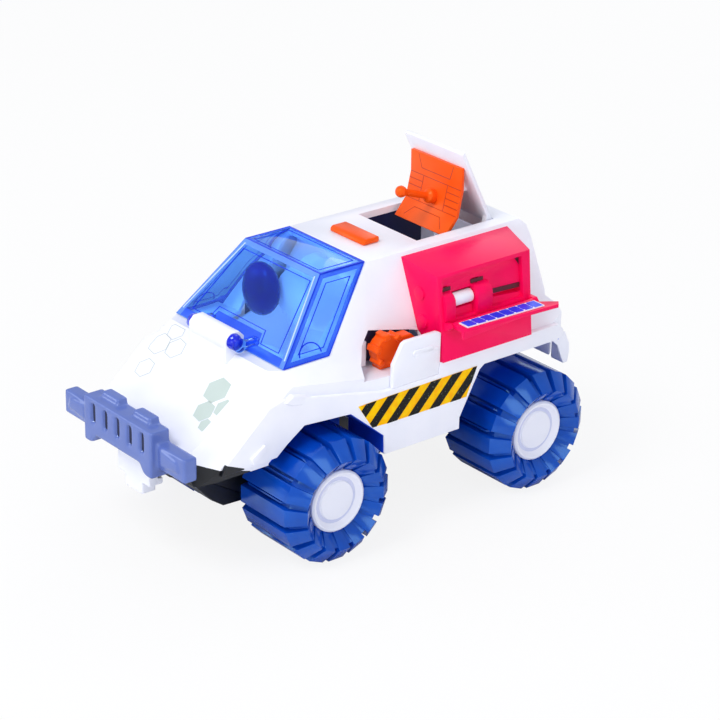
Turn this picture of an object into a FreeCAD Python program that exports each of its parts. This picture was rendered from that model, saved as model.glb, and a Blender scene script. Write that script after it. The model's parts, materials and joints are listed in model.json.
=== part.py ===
"""Toy planetary rover: body shell, opening canopy, roof hatch with folding dish, side module, four wheels.

Millimetres, +Z up. The nose points along -Y and +X is the vehicle's left side.
The origin is on the floor, at the middle of the plan view with the side tray. The pieces are drawn about
the vehicle's own mid-plane and moved to the origin when they are written.
"""
import FreeCAD, Part
import math
import os

from FreeCAD import Vector as V

os.makedirs("parts", exist_ok=True)

# ---- fits -------------------------------------------------------------------
WALL = 2.0
RUN_FIT = 0.05
SIDE_GAP = 0.6
SIDES = (1, -1)

# ---- wheels -----------------------------------------------------------------
WHEELBASE = 128.0
FRONT_AXLE_Y = -38.3
AXLES_Y = (FRONT_AXLE_Y, FRONT_AXLE_Y + WHEELBASE)
TYRE_R = 31.3
TYRE_SIDE_R = 23.0
TYRE_IN_X = 24.5
TYRE_OUT_X = 68.0
CROWN_IN_X = TYRE_IN_X + 3.0
CROWN_OUT_X = TYRE_OUT_X - 7.0
SIDE_DEPTH = 1.6
LUG_H = 3.4
LUG_COUNT = 16
LUG_GAP = 3.6
LUG_ROOT_GAP = 1.8
RIB_HALF = 0.45
RIB_DROP = 1.4
FLATS = 2 * LUG_COUNT
AXLE_Z = TYRE_R
AXLE_R = 3.0
HUB_R = 15.7
HUB_FACE_X = TYRE_OUT_X - 5.3
HUB_LIP = 1.8
HUB_CAP = 4.0
HUB_DISH = 4.0
HUB_DISC_R = 9.6
HUB_DISC_H = 2.6

# ---- body ---------------------------------------------------------------------------
FLOOR_Z = AXLE_Z + 22.7
DECK_Z = FLOOR_Z + 42.4
DECK_HALF = 42.2
ROOF_Z = DECK_Z + 35.8
ROOF_HALF = 29.6
NOSE_Y = -110.0
NOSE_Z = FLOOR_Z + 9.5
BROW_Y = NOSE_Y + 10.5
BROW_Z = FLOOR_Z + 16.2
SCUTTLE_Y = NOSE_Y + 47.1
TAIL_Y = 112.0
DECK_REAR_Y = TAIL_Y - 6.5
BODY_HALF = 55.0
NOSE_HALF = BODY_HALF - 6.6
HOOD_HALF = 37.3
SHOULDER_Y = -5.0
SHELF_Z = DECK_Z - 12.4
SILL_Z = DECK_Z - 18.4
SKIRT_T = 3.0
SKIRT_Z = FLOOR_Z - 9.0
OUTER = BODY_HALF + 12.0

# ---- wheel arches ---------------------------------------------------------------
ARCH_TOP_Z = AXLE_Z + 39.2
ARCH_LOW_Z = FLOOR_Z + 1.0
ARCH_TOP_HALF = 12.5
ARCH_LOW_HALF = 31.0
REAR_ARCH_Z = ARCH_TOP_Z + 5.1
REAR_ARCH_Y = AXLES_Y[1] - 34.2

# ---- chassis --------------------------------------------------------------------
CHASSIS_HALF = 21.0
CHASSIS_BOTTOM = AXLE_Z - 8.3
BEARING_HALF = 6.0
WELL_X = CHASSIS_HALF + 2.5

# ---- nose and tail ----------------------------------------------------------------
PLATE_HALF = 27.5
PLATE_Y = NOSE_Y - 10.9
PLATE_LOW = FLOOR_Z - 0.5
PLATE_HIGH = FLOOR_Z + 22.9
WING_Y = PLATE_Y + 3.4
WING_HALF = NOSE_HALF + 0.4
WING_LOW = PLATE_LOW + 5.1
WING_HIGH = PLATE_HIGH - 6.2
SLOT_COUNT = 5
SLOT_PITCH = 9.9
SLOT_HALF = 1.6
SLOT_LOW = PLATE_HIGH - 12.6
SLOT_HIGH = PLATE_HIGH - 2.4
TOW_R = 2.0
TOW_Y = NOSE_Y + 2.0

# ---- cockpit ----------------------------------------------------------------------
PIVOT_Y = SCUTTLE_Y - 0.6
PIVOT_Z = DECK_Z + 6.2
KNUCKLE_HALF = 14.5
KNUCKLE_R = 5.2
PIN_R = 1.5
TUB_Z = DECK_Z - 20.8
TUB_HALF = DECK_HALF - 10.2
CANOPY_FRONT = SCUTTLE_Y + 5.2
CANOPY_TOP = ROOF_Z + 0.3
CANOPY_LOW = DECK_Z + 0.3
SCREEN_TOP_Y = CANOPY_FRONT + 33.0
CABIN_TOP_Y = SCREEN_TOP_Y + 27.3
CABIN_LOW_Y = CABIN_TOP_Y - 31.6
CANOPY_T = 1.6
TUB_FRONT = CANOPY_FRONT + 5.7
TUB_REAR = CABIN_TOP_Y + 11.4
SEAT_Y = TUB_REAR - 22.0
SEAT_HALF = 13.0
SEAT_H = 10.0
HEAD_HALF = 10.5
HEAD_LOW = 22.0
HEAD_H = 27.0
PILLAR_HALF = 10.0
PILLAR_Y = FRONT_AXLE_Y + 18.3

# ---- roof bay, hatch and dish ------------------------------------------------------
BAY_HALF = 22.3
BAY_FRONT = 40.4
BAY_REAR = 91.0
BAY_FLOOR = DECK_Z - 1.4
HATCH_OPEN = 63.0
HATCH_HALF = BAY_HALF - 0.7
HATCH_T = 2.0
HATCH_LOW = ROOF_Z - 2.0
HATCH_Y = BAY_REAR - 3.7
HATCH_Z = ROOF_Z - 4.2
HATCH_FRONT = BAY_FRONT + 1.3
HATCH_BACK = HATCH_Y - 2.0
DISH_Y = HATCH_Y - 11.3
DISH_Z = HATCH_Z + 20.0
DISH_HALF = 19.0
DISH_UP = 13.3
DISH_DOWN = 20.7
DISH_LEAN = 14.8
DISH_T = 1.8
BOOM_DROP = 6.6
BOOM_REACH = 22.4
BOSS_R = 3.6
BALL_R = 3.1
DISH_EAR_X = 11.6
DISH_PIN = 0.8
STALK_R = 1.8
BUTTON_Y0 = 14.6
BUTTON_Y1 = 24.8
BUTTON_HALF = 13.0

# ---- side module ------------------------------------------------------------------
MOD_FRONT = 27.5
MOD_REAR = 88.0
MOD_BOTTOM = SHELF_Z
MOD_LOW_X = BODY_HALF + 4.2
MOD_HIGH_X = BODY_HALF - 1.8
MOD_HIGH_Z = ROOF_Z - 5.6
MOD_IN_Z = ROOF_Z - 1.8
ROLL_X = BODY_HALF - 3.0
ROLL_Z = DECK_Z + 15.4
ROLL_R = 3.4
ROLL_Y0 = 36.2
ROLL_Y1 = 49.3
ROLL_PIN = 1.2
ROLL_GAP = 0.5
ARM_W = 6.0
ARM_REAR_W = 9.5
RECESS_DEPTH = 2.5
MOD_TAPER = 4.0
TRAY_X = BODY_HALF + 4.6
TRAY_OUT_X = TRAY_X + 11.8
TRAY_Z = DECK_Z + 5.6
TRAY_T = 0.9
TRAY_PIN = 0.75
TRAY_Y0 = 32.0
TRAY_Y1 = 84.0

# ---- tool pockets -----------------------------------------------------------------
POCKET_X = DECK_HALF - 8.2
POCKET_FRONT = -17.0
POCKET_REAR = 26.0
TOOL_X0 = POCKET_X + 7.0
TOOL_X1 = POCKET_X + 13.5
TOOL_R = 7.5
TOOL_Y = 3.0
TOOL_Z = SHELF_Z + 9.0
FLAP_REAR = 26.9


def save(name, shape):
    """Write one node as a STEP file, moved so that the plan view is centred on the origin."""
    overhang = TRAY_OUT_X - TYRE_OUT_X
    shape.translated(V(-overhang / 2, 0, 0)).exportStep("parts/" + name + ".step")


def box(x0, x1, y0, y1, z0, z1):
    """Box between two opposite corners."""
    return Part.makeBox(x1 - x0, y1 - y0, z1 - z0, V(x0, y0, z0))


def face(points, inset=0.0):
    """Flat face with straight edges, drawn in by the inset."""
    flat = Part.Face(Part.makePolygon(points + points[:1]))
    return flat.makeOffset2D(-inset, 2) if inset else flat


def prism_x(points, x0, x1, inset=0.0):
    """Extrude a (y, z) outline along X."""
    return face([V(x0, y, z) for y, z in points], inset).extrude(V(x1 - x0, 0, 0))


def prism_y(points, y0, y1, inset=0.0):
    """Extrude an (x, z) outline along Y."""
    return face([V(x, y0, z) for x, z in points], inset).extrude(V(0, y1 - y0, 0))


def prism_z(points, z0, z1, inset=0.0):
    """Extrude an (x, y) outline along Z."""
    return face([V(x, y, z0) for x, y in points], inset).extrude(V(0, 0, z1 - z0))


def rod_x(r, x0, x1, y, z):
    """Cylinder along X."""
    return Part.makeCylinder(r, x1 - x0, V(x0, y, z), V(1, 0, 0))


def rod_y(r, y0, y1, x, z):
    """Cylinder along Y."""
    return Part.makeCylinder(r, y1 - y0, V(x, y0, z), V(0, 1, 0))


def lathe_x(points, y, z, flats):
    """Closed (x, radius) outline swept about the X line through (y, z) in flat facets."""
    def ring(k):
        a = 2 * math.pi * (k + 0.5) / flats
        return [V(x, y + r * math.sin(a), z + r * math.cos(a)) for x, r in points]
    faces = []
    for k in range(flats):
        near, far = ring(k), ring(k + 1)
        for i in range(len(points)):
            j = (i + 1) % len(points)
            loop = [near[i], near[j], far[j], far[i]]
            if points[i][1] == 0:
                loop = loop[:3]
            elif points[j][1] == 0:
                loop = [near[i], near[j], far[i]]
            if points[i][1] or points[j][1]:
                faces.append(face(loop))
    return Part.Solid(Part.Shell(faces)).removeSplitter()


def mirrored(points):
    """Half outline from the bottom up, closed with its mirror image."""
    return points + [(-x, z) for x, z in reversed(points)]


def flip(shape, side):
    """Left-hand shape for side 1, its mirror image for side -1."""
    if side == 1:
        return shape
    return shape.mirror(V(0, 0, 0), V(1, 0, 0))


def tag(side):
    """Name ending of a side."""
    return "_l" if side == 1 else "_r"


def turned(shape, y, z, angle):
    """Turn a shape about the X line through (y, z)."""
    out = shape.copy()
    out.rotate(V(0, y, z), V(1, 0, 0), angle)
    return out


def largest(shape):
    """The biggest solid of a shape."""
    return max(shape.removeSplitter().Solids, key=lambda s: s.Volume)


# ---- wheels -------------------------------------------------------------------------
def lug_block(points, y, half_top, half_root):
    """Block over the axle from an (x, radius) section, narrower towards the hub."""
    wide = prism_y([(x, AXLE_Z + r) for x, r in points], y - half_top, y + half_top)
    wedge = prism_x([(y - half_top, AXLE_Z + TYRE_R), (y + half_top, AXLE_Z + TYRE_R), (y + half_root, AXLE_Z + HUB_R),
                     (y - half_root, AXLE_Z + HUB_R)], TYRE_IN_X, TYRE_OUT_X)
    return wide.common(wedge)


def tyre(y):
    """Left tyre: bulging carcass, lugs that wrap over the shoulders and a thin rib in each groove."""
    base = TYRE_R - LUG_H
    bead_x = HUB_FACE_X - SIDE_DEPTH
    carcass = [(TYRE_IN_X + 2 * SIDE_DEPTH, HUB_R), (TYRE_IN_X + SIDE_DEPTH, TYRE_SIDE_R - 1), (CROWN_IN_X + 1, base),
               (CROWN_OUT_X - 1, base), (TYRE_OUT_X - SIDE_DEPTH, TYRE_SIDE_R - 1), (bead_x - SIDE_DEPTH, HUB_R)]
    section = [(TYRE_IN_X + SIDE_DEPTH, HUB_R), (TYRE_IN_X, TYRE_SIDE_R), (CROWN_IN_X, TYRE_R), (CROWN_OUT_X, TYRE_R),
               (TYRE_OUT_X, TYRE_SIDE_R), (bead_x, HUB_R)]
    thread = [(CROWN_IN_X + 2, base - 1), (CROWN_IN_X + 3, TYRE_R - RIB_DROP), (CROWN_OUT_X - 5, TYRE_R - RIB_DROP),
              (CROWN_OUT_X - 4, base - 1)]
    lug = lug_block(section, y, (math.pi * 2 * TYRE_R / LUG_COUNT - LUG_GAP) / 2, (math.pi * 2 * HUB_R / LUG_COUNT - LUG_ROOT_GAP) / 2)
    rib = prism_y([(x, AXLE_Z + r) for x, r in thread], y - RIB_HALF, y + RIB_HALF)
    step = 360.0 / LUG_COUNT
    blocks = []
    for k in range(LUG_COUNT):
        blocks.append(turned(lug, y, AXLE_Z, step * k))
        blocks.append(turned(rib, y, AXLE_Z, step * (k + 0.5)))
    return lathe_x(carcass, y, AXLE_Z, FLATS).multiFuse(blocks).removeSplitter()


def hub(y):
    """Left wheel hub: dished face with a raised centre disc, closed over the axle's end."""
    out = HUB_FACE_X
    floor = out - HUB_DISH
    start = TYRE_IN_X + 3 * SIDE_DEPTH
    solid = [(start, 0.0), (start, HUB_R), (out - 0.8, HUB_R), (out, HUB_R - 1.0), (out, HUB_R - HUB_LIP),
             (floor, HUB_DISC_R + 1.0), (floor + HUB_DISC_H, HUB_DISC_R), (floor + HUB_DISC_H, 0.0)]
    return lathe_x(solid, y, AXLE_Z, FLATS).cut(rod_x(AXLE_R, start, floor - HUB_CAP, y, AXLE_Z))


def axle(y):
    """Plain rod into both hubs."""
    reach = HUB_FACE_X - HUB_DISH - HUB_CAP
    return rod_x(AXLE_R, -reach, reach, y, AXLE_Z)


# ---- chassis ------------------------------------------------------------------------
def chassis():
    """Black tray with a bearing block for each axle and cross ribs between them."""
    low = CHASSIS_BOTTOM
    front, rear = NOSE_Y + 4, TAIL_Y - 2
    outline = [(front, FLOOR_Z - 6), (front + 8, FLOOR_Z - 10), (front + 42, low), (rear - 6, low), (rear, low + 13),
               (rear, FLOOR_Z), (front, FLOOR_Z)]
    tray = prism_x(outline, -CHASSIS_HALF, CHASSIS_HALF)
    inner = prism_x(outline, -CHASSIS_HALF + WALL, CHASSIS_HALF - WALL, WALL)
    tray = tray.cut(inner).cut(box(-CHASSIS_HALF + WALL, CHASSIS_HALF - WALL, front + WALL, rear - WALL, low + WALL + 14, FLOOR_Z + 1))
    for y in AXLES_Y:
        block = box(-CHASSIS_HALF - 1, CHASSIS_HALF + 1, y - BEARING_HALF, y + BEARING_HALF, AXLE_Z - BEARING_HALF, AXLE_Z + BEARING_HALF)
        tray = tray.fuse(block)
    for k in (1, 2, 3):
        y = AXLES_Y[0] + k * WHEELBASE / 4
        tray = tray.fuse(box(-CHASSIS_HALF, CHASSIS_HALF, y - WALL / 2, y + WALL / 2, low, low + 8))
    for y in AXLES_Y:
        tray = tray.cut(rod_x(AXLE_R + RUN_FIT, -CHASSIS_HALF - 2, CHASSIS_HALF + 2, y, AXLE_Z))
    return tray.removeSplitter()


# ---- body shell ---------------------------------------------------------------------
SIDE_VIEW = [(NOSE_Y, FLOOR_Z), (NOSE_Y, NOSE_Z), (BROW_Y, BROW_Z), (SCUTTLE_Y, DECK_Z + 0.4), (SCUTTLE_Y + 0.9, DECK_Z),
             (DECK_REAR_Y, DECK_Z), (TAIL_Y, DECK_Z - 6.4), (TAIL_Y, FLOOR_Z + 6), (TAIL_Y - 6, FLOOR_Z)]
PLAN_VIEW = [(NOSE_HALF - 2, NOSE_Y), (NOSE_HALF, BROW_Y), (NOSE_HALF, SCUTTLE_Y + 6), (BODY_HALF, SHOULDER_Y),
             (BODY_HALF, TAIL_Y - 9), (BODY_HALF - 3, TAIL_Y)]
HOOD_EDGE = (V(HOOD_HALF, BROW_Y, BROW_Z), V(HOOD_HALF, SCUTTLE_Y, DECK_Z + 0.4), V(NOSE_HALF, BROW_Y + 4, BROW_Z - 9))
DECK_EDGE = (V(DECK_HALF, 0, DECK_Z), V(DECK_HALF, TAIL_Y, DECK_Z), V(BODY_HALF, 0, SHELF_Z))
CABIN_SIDE = [(CABIN_LOW_Y, DECK_Z - 6), (CABIN_LOW_Y, DECK_Z), (CABIN_TOP_Y, ROOF_Z), (TAIL_Y - 11, ROOF_Z),
              (TAIL_Y - 7, ROOF_Z - 3.6), (TAIL_Y - 5.5, ROOF_Z - 10), (TAIL_Y - 2.5, DECK_Z - 6)]
CABIN_FRONT = [(DECK_HALF + 0.4, DECK_Z - 6), (DECK_HALF, DECK_Z), (ROOF_HALF, ROOF_Z)]


def outside_of(corners, inset):
    """Everything beyond the plane through three points, moved inwards by the inset."""
    a, b, c = corners
    normal = (c - a).cross(b - a).normalize()
    along = (b - a).normalize()
    across = normal.cross(along)
    reach = 2 * TAIL_Y
    start = a - normal * inset
    square = [start + along * i + across * j for i, j in ((-reach, -reach), (reach, -reach), (reach, reach), (-reach, reach))]
    return face(square).extrude(normal * reach)


def lower_body(inset):
    """Nose, hood and deck: side view crossed with the plan, less the sloping edges."""
    shape = prism_x(SIDE_VIEW, -OUTER, OUTER, inset).common(prism_z(mirrored(PLAN_VIEW), 0, ROOF_Z, inset))
    for corners in (HOOD_EDGE, DECK_EDGE):
        for side in SIDES:
            shape = shape.cut(flip(outside_of(corners, inset), side))
    return shape


def upper_body(inset):
    """Cabin and roof: side view crossed with the front view."""
    return prism_x(CABIN_SIDE, -OUTER, OUTER, inset).common(prism_y(mirrored(CABIN_FRONT), CABIN_LOW_Y - 11, TAIL_Y, inset))


def body_outside():
    """Whole outside form of the body."""
    return lower_body(0.0).fuse(upper_body(0.0)).removeSplitter()


def arch(x0, x1, reach):
    """Room for a front wheel, as a trapezoid over the axle."""
    y, top, low = FRONT_AXLE_Y, ARCH_TOP_Z, ARCH_LOW_Z
    pts = [(y - ARCH_TOP_HALF - reach / 2, top + reach), (y + ARCH_TOP_HALF + reach / 2, top + reach), (y + ARCH_LOW_HALF + reach, low),
           (y + ARCH_LOW_HALF + 2 + reach, 0), (y - ARCH_LOW_HALF - 2 - reach, 0), (y - ARCH_LOW_HALF - reach, low)]
    return prism_x(pts, x0, x1)


def rear_arch(x0, x1, reach):
    """Room for a rear wheel, open to the tail."""
    y, top, end = REAR_ARCH_Y, REAR_ARCH_Z, TAIL_Y + 9
    leg = y - 15 - reach
    pts = [(leg, 0), (leg, FLOOR_Z - 3), (y - 3 - reach, top - 2.2 + reach / 2), (y, top + reach), (end, top + reach), (end, 0)]
    return prism_x(pts, x0, x1)


def wells(x1, reach):
    """Both wheel wells on the left side."""
    return arch(WELL_X - reach, x1, reach).fuse(rear_arch(WELL_X - reach, x1, reach))


def bay_tub():
    """Walls and floor of the roof bay."""
    return box(-BAY_HALF - WALL, BAY_HALF + WALL, BAY_FRONT - WALL, BAY_REAR + WALL, BAY_FLOOR - WALL, ROOF_Z - 1)


def pocket(x1):
    """Tool pocket: cut through the side above the shelf."""
    low = SHELF_Z
    outline = [(POCKET_FRONT, low), (POCKET_FRONT + 2, low + 6), (POCKET_FRONT + 13, low + 18.5), (POCKET_REAR - 6, low + 13.5),
               (POCKET_REAR - 0.5, low + 12), (POCKET_REAR - 0.5, low)]
    return prism_x(outline, POCKET_X, x1)


def knuckle():
    """Half barrel on the hood with the bore for the canopy pin."""
    r, low = KNUCKLE_R, DECK_Z - 8.4
    profile = [(-r, low), (-r, PIVOT_Z + r / 2), (-r / 2, PIVOT_Z + r), (r / 2, PIVOT_Z + r), (r, PIVOT_Z + r / 2), (r, low)]
    barrel = prism_x([(PIVOT_Y + y, z) for y, z in profile], -KNUCKLE_HALF, KNUCKLE_HALF)
    bore = rod_x(PIN_R + RUN_FIT, -KNUCKLE_HALF - 1, KNUCKLE_HALF + 1, PIVOT_Y, PIVOT_Z)
    return barrel.cut(lower_body(WALL)).cut(bore)


def body_shell():
    """White shell with cockpit, roof bay, tool pockets and wheel wells."""
    outside = body_outside()
    shell = outside.cut(lower_body(WALL).fuse(upper_body(WALL)))
    shell = shell.fuse(box(-OUTER, OUTER, NOSE_Y, TAIL_Y, FLOOR_Z, FLOOR_Z + WALL).common(outside))
    for side in SIDES:
        shell = shell.fuse(flip(wells(OUTER, WALL), side).common(outside)).cut(flip(wells(OUTER, 0.0), side))
    room = PILLAR_HALF + 2
    shell = shell.cut(box(-room, room, PILLAR_Y - room, PILLAR_Y + room, FLOOR_Z - 1, FLOOR_Z + WALL + 1))
    opening = [(TUB_FRONT, DECK_Z - 6.4), (TUB_FRONT, DECK_Z + 2.6), (CABIN_LOW_Y - 2, DECK_Z + 2.6), (CABIN_TOP_Y - 8, ROOF_Z - 4),
               (CABIN_TOP_Y + 6, ROOF_Z - 8), (CABIN_TOP_Y + 6, DECK_Z - 6.4)]
    shell = shell.cut(prism_x(opening, -ROOF_HALF + 3.6, ROOF_HALF - 3.6))
    shell = shell.fuse(bay_tub()).cut(box(-BAY_HALF, BAY_HALF, BAY_FRONT, BAY_REAR, BAY_FLOOR, ROOF_Z + 1)).fuse(knuckle())
    for side in SIDES:
        pin = rod_x(1.0, HATCH_HALF - 1.6, BAY_HALF + 1, HATCH_Y, HATCH_Z)
        shelf = box(POCKET_X, BODY_HALF - 1, POCKET_FRONT, POCKET_REAR, SHELF_Z - WALL, SHELF_Z).common(outside)
        shell = shell.fuse(flip(pin, side)).cut(flip(pocket(OUTER), side)).fuse(flip(shelf, side))
    return largest(shell)


def skirt():
    """Left side skirt: front fender with its slot and catch, sill, rear shelf and tail hook."""
    x0, x1 = NOSE_HALF - 18, BODY_HALF + SKIRT_T
    inner = BODY_HALF - 35
    outline = [(BROW_Y + 2, FLOOR_Z + 3), (BROW_Y + 4.5, FLOOR_Z + 7.4), (-70, SHELF_Z), (-61, SHELF_Z + 2), (SHOULDER_Y - 3, SILL_Z),
               (POCKET_REAR, SILL_Z), (POCKET_REAR + 1, SHELF_Z), (TAIL_Y - 7, SHELF_Z), (TAIL_Y, SHELF_Z - 6), (TAIL_Y, SHELF_Z - 12),
               (60, SHELF_Z - 24), (46, SKIRT_Z), (-8, SKIRT_Z), (-14, SKIRT_Z + 4), (-30, 60), (-80, 57)]
    plan = prism_z([(inner, BROW_Y), (NOSE_HALF + 1.6, BROW_Y), (NOSE_HALF + 2.2, SCUTTLE_Y + 3), (x1, SHOULDER_Y), (x1, TAIL_Y - 8),
                    (x1 - 3, TAIL_Y - 1), (inner, TAIL_Y - 1)], 0, ROOF_Z)
    shape = prism_x(outline, x0, x1).common(plan).cut(lower_body(0.0))
    shape = largest(shape.cut(arch(x0, x1 + 1, 0.0)).cut(rear_arch(x0, x1 + 1, 0.0)))
    t, r = TAIL_Y, REAR_ARCH_Z
    hook = [(t - 10, r), (t - 4, r + 4), (t + 1, r + 1), (t + 4.2, r - 6), (t + 4.6, r - 10), (t + 3.6, r - 16), (t + 0.5, r - 16),
            (t - 1.5, r - 11), (t - 4, r - 5)]
    shape = shape.fuse(prism_x(hook, BODY_HALF - 9, BODY_HALF - 0.5).cut(lower_body(0.0)))
    catch = prism_x([(BROW_Y + 18, FLOOR_Z + 8), (BROW_Y + 26, FLOOR_Z + 13), (BROW_Y + 26, FLOOR_Z + 9), (BROW_Y + 19, FLOOR_Z + 4.5)],
                    NOSE_HALF, NOSE_HALF + 3.4)
    return shape.fuse(catch).removeSplitter()


# ---- nose and tail ----------------------------------------------------------------
def slot_outline(x):
    """Upright slot with cut corners, as (x, z) points."""
    w, c = SLOT_HALF, SLOT_HALF / 2
    half = [(c, SLOT_LOW), (w, SLOT_LOW + c), (w, SLOT_HIGH - c), (c, SLOT_HIGH)]
    return [(x + dx, z) for dx, z in mirrored(half)]


def bumper():
    """Grille plate with upright slots, set-back ribbed wings and two blocks on top."""
    h = PLATE_HALF
    edge = [(h - 10, PLATE_LOW + 5), (h - 7, PLATE_LOW + 1), (h - 4.5, PLATE_LOW), (h, PLATE_LOW), (h, PLATE_HIGH)]
    shape = prism_y(mirrored(edge), PLATE_Y, NOSE_Y).fuse(box(-WING_HALF, WING_HALF, WING_Y, NOSE_Y, WING_LOW, WING_HIGH))
    panel = prism_y([(h + 3, WING_LOW + 2.6), (WING_HALF - 4, WING_LOW + 4.4), (WING_HALF - 5.4, WING_HIGH - 3), (h + 3, WING_HIGH - 1.6)],
                    WING_Y - 1, WING_Y)
    block = prism_x([(PLATE_Y + 4.4, PLATE_HIGH), (NOSE_Y, PLATE_HIGH), (NOSE_Y, PLATE_HIGH + 3.1), (PLATE_Y + 5.4, PLATE_HIGH + 3.1)],
                    h - 21.4, h - 7.8)
    for side in SIDES:
        shape = shape.fuse(flip(panel, side)).fuse(flip(block, side))
    for k in range(SLOT_COUNT):
        shape = shape.cut(prism_y(slot_outline((k - (SLOT_COUNT - 1) / 2) * SLOT_PITCH), PLATE_Y - 1, PLATE_Y + 2))
    for k in range(2 * SLOT_COUNT):
        x = (k - SLOT_COUNT + 0.5) * SLOT_PITCH / 3
        shape = shape.fuse(box(x - 0.8, x + 0.8, PLATE_Y + 2.6, NOSE_Y, PLATE_LOW + 3, PLATE_LOW + 6))
    return shape.removeSplitter()


def nose_lug():
    """White towing lug under the nose, with a blind bore from below."""
    y0, y1, low, mid = TOW_Y - 4, TOW_Y + 4, FLOOR_Z - 19, FLOOR_Z - 13
    shape = box(-13, 13, y0, y0 + 5, mid, FLOOR_Z).fuse(box(-7, 7, y0, y1, low, mid + 1)).fuse(box(-13, 13, y0, y1, mid, mid + 3.5))
    return shape.cut(Part.makeCylinder(TOW_R, 8, V(0, TOW_Y, low - 1), V(0, 0, 1))).removeSplitter()


def rear_bumper():
    """Low bar across the tail."""
    half = BODY_HALF - 10
    plan = [(half, TAIL_Y), (half - 3, TAIL_Y + 4)]
    return prism_z(mirrored(plan), FLOOR_Z + 6, FLOOR_Z + 16)


# ---- cockpit ----------------------------------------------------------------------
def canopy():
    """Clear cover over the cockpit, with hinge arms at the front."""
    low, top, t = CANOPY_LOW, CANOPY_TOP, CANOPY_T
    wide = DECK_HALF + 8
    side = [(CANOPY_FRONT + 1.2, low), (SCREEN_TOP_Y, top), (CABIN_TOP_Y - 0.4, top), (CABIN_LOW_Y - 0.2, low)]
    front = [(DECK_HALF, low), (ROOF_HALF - 0.8, top)]
    inner_side = [(CANOPY_FRONT + 4.2, low - 1), (SCREEN_TOP_Y + 1.3, top - t), (CABIN_TOP_Y + 3.4, top - t), (CABIN_LOW_Y + 3, low - 1)]
    inner_front = [(DECK_HALF - t, low - 1), (ROOF_HALF - 0.8 - t, top - t)]
    outer = prism_x(side, -wide, wide).common(prism_y(mirrored(front), PIVOT_Y, CABIN_TOP_Y + 9))
    shape = outer.cut(prism_x(inner_side, -wide, wide).common(prism_y(mirrored(inner_front), PIVOT_Y, CABIN_TOP_Y + 9)))
    x0, x1 = KNUCKLE_HALF + SIDE_GAP, KNUCKLE_HALF + SIDE_GAP + 4
    arm = rod_x(3.4, x0, x1, PIVOT_Y, PIVOT_Z).fuse(box(x0, x1, PIVOT_Y, CANOPY_FRONT + 5.2, PIVOT_Z - 2.2, PIVOT_Z + 1.2))
    for side in SIDES:
        shape = shape.fuse(flip(arm, side))
    return shape.fuse(rod_x(PIN_R, -x0 - 0.4, x0 + 0.4, PIVOT_Y, PIVOT_Z)).removeSplitter()


def cockpit_tub():
    """Dark floor pan of the cockpit on its pillar."""
    w, low, rim = TUB_HALF, TUB_Z - 1.6, DECK_Z - 6.4
    pan = box(-w, w, TUB_FRONT, TUB_REAR, low, rim).cut(box(-w + 1.6, w - 1.6, TUB_FRONT + 1.6, TUB_REAR - 1.6, TUB_Z, rim + 1))
    p = PILLAR_HALF
    return pan.fuse(box(-p, p, PILLAR_Y - p, PILLAR_Y + p, CHASSIS_BOTTOM + WALL, low)).removeSplitter()


def seat():
    """Seat with a tall rounded head-rest."""
    y, z, w = SEAT_Y, TUB_Z, SEAT_HALF
    shape = box(-w, w, y - 2 * w, y + 4, z, z + SEAT_H).fuse(box(2 - w, w - 2, y - 2, y + 6, z, z + HEAD_LOW + 6))
    shares = ((0.57, 0.0), (0.86, 0.11), (1.0, 0.33), (1.0, 0.52), (0.9, 0.74), (0.65, 0.89), (0.29, 1.0))
    half = [(HEAD_HALF * wide, HEAD_LOW + HEAD_H * up) for wide, up in shares]
    front = prism_y([(x, z + dz) for x, dz in mirrored(half)], y - w, y + w)
    side = prism_x([(y + x, z + dz) for x, dz in mirrored(half)], -w, w)
    return shape.fuse(front.common(side)).removeSplitter()


# ---- roof -------------------------------------------------------------------------
def roof_button():
    """Orange push button on the roof."""
    z, h = ROOF_Z, 3.0
    outline = [(BUTTON_Y0, z), (BUTTON_Y1, z), (BUTTON_Y1, z + h), (BUTTON_Y0 + 1.4, z + h), (BUTTON_Y0, z + h - 1.2)]
    return prism_x(outline, -BUTTON_HALF, BUTTON_HALF)


def ear_profile(y, z, top, r, root):
    """Side view of an eye: cut corners under a pin at (y, z), wider at its root."""
    half = [(r / 2, z - r), (r, z - r / 2), (r, z + r / 2), (root, top)]
    return [(y + dy, zz) for dy, zz in mirrored(half)]


def closed(y, z):
    """Place of an open-hatch point when the hatch is shut."""
    a = math.radians(HATCH_OPEN)
    dy, dz = y - HATCH_Y, z - HATCH_Z
    return HATCH_Y + dy * math.cos(a) - dz * math.sin(a), HATCH_Z + dy * math.sin(a) + dz * math.cos(a)


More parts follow.
